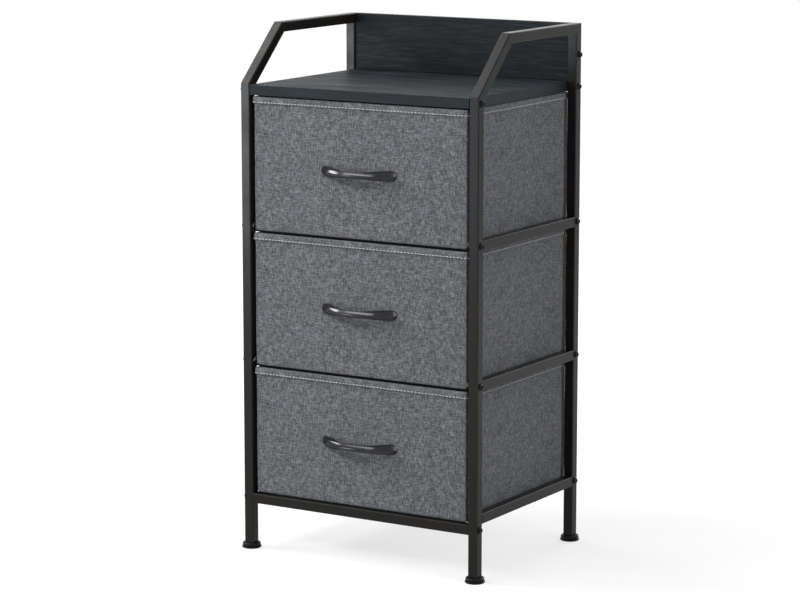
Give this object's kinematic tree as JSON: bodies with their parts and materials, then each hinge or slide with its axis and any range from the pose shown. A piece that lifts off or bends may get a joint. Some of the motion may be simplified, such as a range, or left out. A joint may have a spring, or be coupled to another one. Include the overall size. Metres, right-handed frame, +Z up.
{
  "type": "fabric drawer nightstand",
  "caption": "Narrow bedside drawer tower: dark steel tube frame, grained top with raised side guards and back board, stacked grey fabric drawers with bow handles, round feet.",
  "frame": {"origin": "on the floor under the middle of the part's box", "axes": "+X to the right seen from the front, +Y to the back, +Z up; the drawers open along -Y"},
  "size_m": [0.414, 0.3294, 0.7781],
  "materials": {
    "frame_steel": "satin black powder coat",
    "bolt_steel": "satin black",
    "zinc_steel": "black zinc plate",
    "grained_board": "dark wood grain foil",
    "linen_fabric": "grey melange weave",
    "stiffener_board": "fibreboard faced with grey non-woven lining",
    "handle_metal": "satin gunmetal",
    "foot_plastic": "moulded black"
  },
  "bodies": {
    "frame": {"left_front_post": "frame_steel", "right_front_post": "frame_steel", "left_slope_bar": "frame_steel", "right_slope_bar": "frame_steel", "left_top_bar": "frame_steel", "right_top_bar": "frame_steel", "left_rear_post": "frame_steel", "right_rear_post": "frame_steel", "left_lower_rail": "frame_steel", "right_lower_rail": "frame_steel", "left_lower_runner": "frame_steel", "right_lower_runner": "frame_steel", "left_middle_rail": "frame_steel", "right_middle_rail": "frame_steel", "left_middle_runner": "frame_steel", "right_middle_runner": "frame_steel", "left_upper_rail": "frame_steel", "right_upper_rail": "frame_steel", "left_upper_runner": "frame_steel", "right_upper_runner": "frame_steel", "front_bottom_rail": "frame_steel", "middle_front_strap": "frame_steel", "upper_front_strap": "frame_steel", "lower_rear_strap": "frame_steel", "middle_rear_strap": "frame_steel", "upper_rear_strap": "frame_steel", "top_panel": "grained_board", "back_board": "grained_board", "frame_bolts": "bolt_steel", "frame_nuts": "zinc_steel", "panel_inserts": "zinc_steel", "leg_plugs": "foot_plastic"},
    "upper_drawer": {"upper_drawer_cover": "linen_fabric", "upper_drawer_front_board": "stiffener_board", "upper_drawer_rear_board": "stiffener_board", "upper_drawer_left_board": "stiffener_board", "upper_drawer_right_board": "stiffener_board", "upper_drawer_base_board": "stiffener_board", "upper_drawer_handle": "handle_metal", "upper_drawer_handle_screws": "zinc_steel"},
    "middle_drawer": {"middle_drawer_cover": "linen_fabric", "middle_drawer_front_board": "stiffener_board", "middle_drawer_rear_board": "stiffener_board", "middle_drawer_left_board": "stiffener_board", "middle_drawer_right_board": "stiffener_board", "middle_drawer_base_board": "stiffener_board", "middle_drawer_handle": "handle_metal", "middle_drawer_handle_screws": "zinc_steel"},
    "lower_drawer": {"lower_drawer_cover": "linen_fabric", "lower_drawer_front_board": "stiffener_board", "lower_drawer_rear_board": "stiffener_board", "lower_drawer_left_board": "stiffener_board", "lower_drawer_right_board": "stiffener_board", "lower_drawer_base_board": "stiffener_board", "lower_drawer_handle": "handle_metal", "lower_drawer_handle_screws": "zinc_steel"},
    "left_front_foot": {"left_front_foot": "foot_plastic"},
    "right_front_foot": {"right_front_foot": "foot_plastic"},
    "left_rear_foot": {"left_rear_foot": "foot_plastic"},
    "right_rear_foot": {"right_rear_foot": "foot_plastic"}
  },
  "joints": [
    {"name": "upper_drawer_slide", "type": "slide", "parent": "frame", "child": "upper_drawer", "axis": [0, -1, 0], "range_m": [0, 0.24]},
    {"name": "middle_drawer_slide", "type": "slide", "parent": "frame", "child": "middle_drawer", "axis": [0, -1, 0], "range_m": [0, 0.24]},
    {"name": "lower_drawer_slide", "type": "slide", "parent": "frame", "child": "lower_drawer", "axis": [0, -1, 0], "range_m": [0, 0.24]},
    {"name": "left_front_foot_screw", "type": "slide", "parent": "frame", "child": "left_front_foot", "axis": [0, 0, -1], "range_m": [0, 0.008]},
    {"name": "right_front_foot_screw", "type": "slide", "parent": "frame", "child": "right_front_foot", "axis": [0, 0, -1], "range_m": [0, 0.008]},
    {"name": "left_rear_foot_screw", "type": "slide", "parent": "frame", "child": "left_rear_foot", "axis": [0, 0, -1], "range_m": [0, 0.008]},
    {"name": "right_rear_foot_screw", "type": "slide", "parent": "frame", "child": "right_rear_foot", "axis": [0, 0, -1], "range_m": [0, 0.008]}
  ]
}
